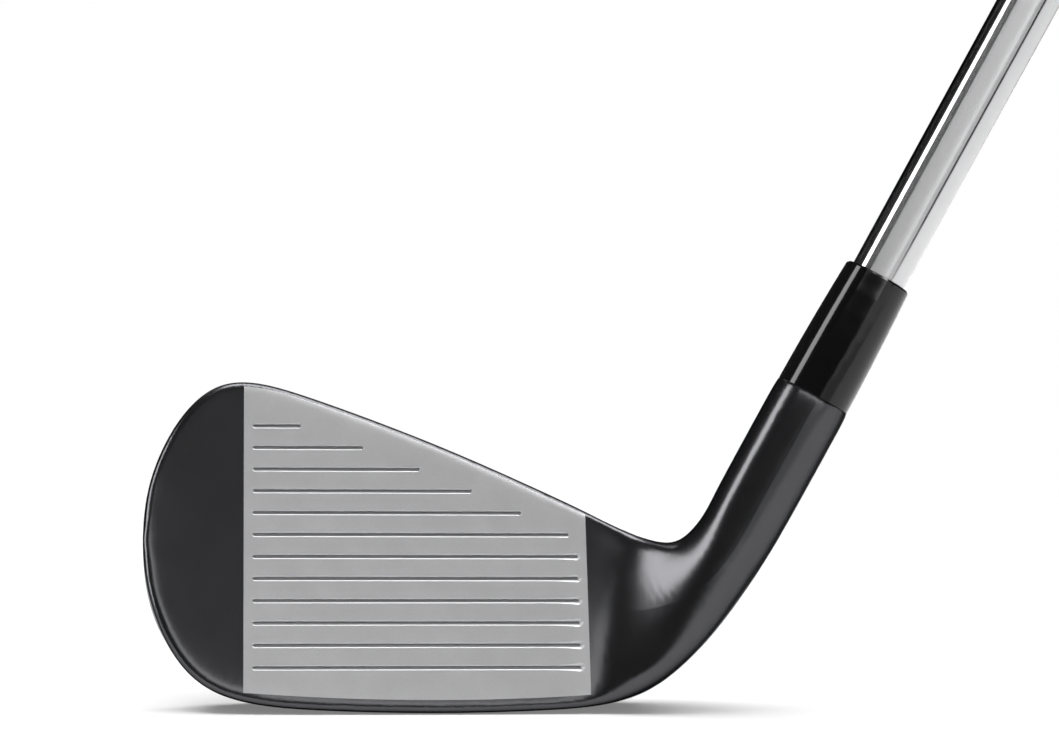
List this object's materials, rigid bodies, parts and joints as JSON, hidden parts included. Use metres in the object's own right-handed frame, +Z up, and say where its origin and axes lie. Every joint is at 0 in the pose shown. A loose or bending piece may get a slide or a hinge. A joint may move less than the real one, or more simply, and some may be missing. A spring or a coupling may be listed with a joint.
{
  "type": "iron golf club",
  "caption": "Black hollow-bodied iron golf club with a silver scored face panel, a long hosel, a stepped tapering steel shaft and a rubber grip, set at address.",
  "frame": {"origin": "centre of the grip's butt end, on the shaft's axis", "axes": "+Z up, the face looks towards -Y, the toe is at -X and the shaft leans up towards +X by the lie angle"},
  "size_m": [0.5593, 0.0379, 0.8658],
  "materials": {
    "head_black": "satin black coating on steel",
    "face_silver": "fine blasted steel",
    "weight_metal": "bare sintered metal",
    "insert_elastomer": "matte",
    "bond_resin": "cured resin",
    "ferrule_black": "polished black",
    "shaft_chrome": "bright plated",
    "pin_brass": "turned",
    "tape_paper": "matte adhesive tape",
    "grip_rubber": "matte textured rubber",
    "cap_rubber": "matte smooth rubber"
  },
  "bodies": {
    "root": {"head_body": "head_black", "face_plate": "face_silver", "toe_weight": "weight_metal", "damping_insert": "insert_elastomer", "hosel_bond": "bond_resin", "ferrule": "ferrule_black", "shaft": "shaft_chrome", "tip_pin": "pin_brass", "grip_tape": "tape_paper", "grip": "grip_rubber", "grip_end_cap": "cap_rubber"}
  },
  "joints": []
}
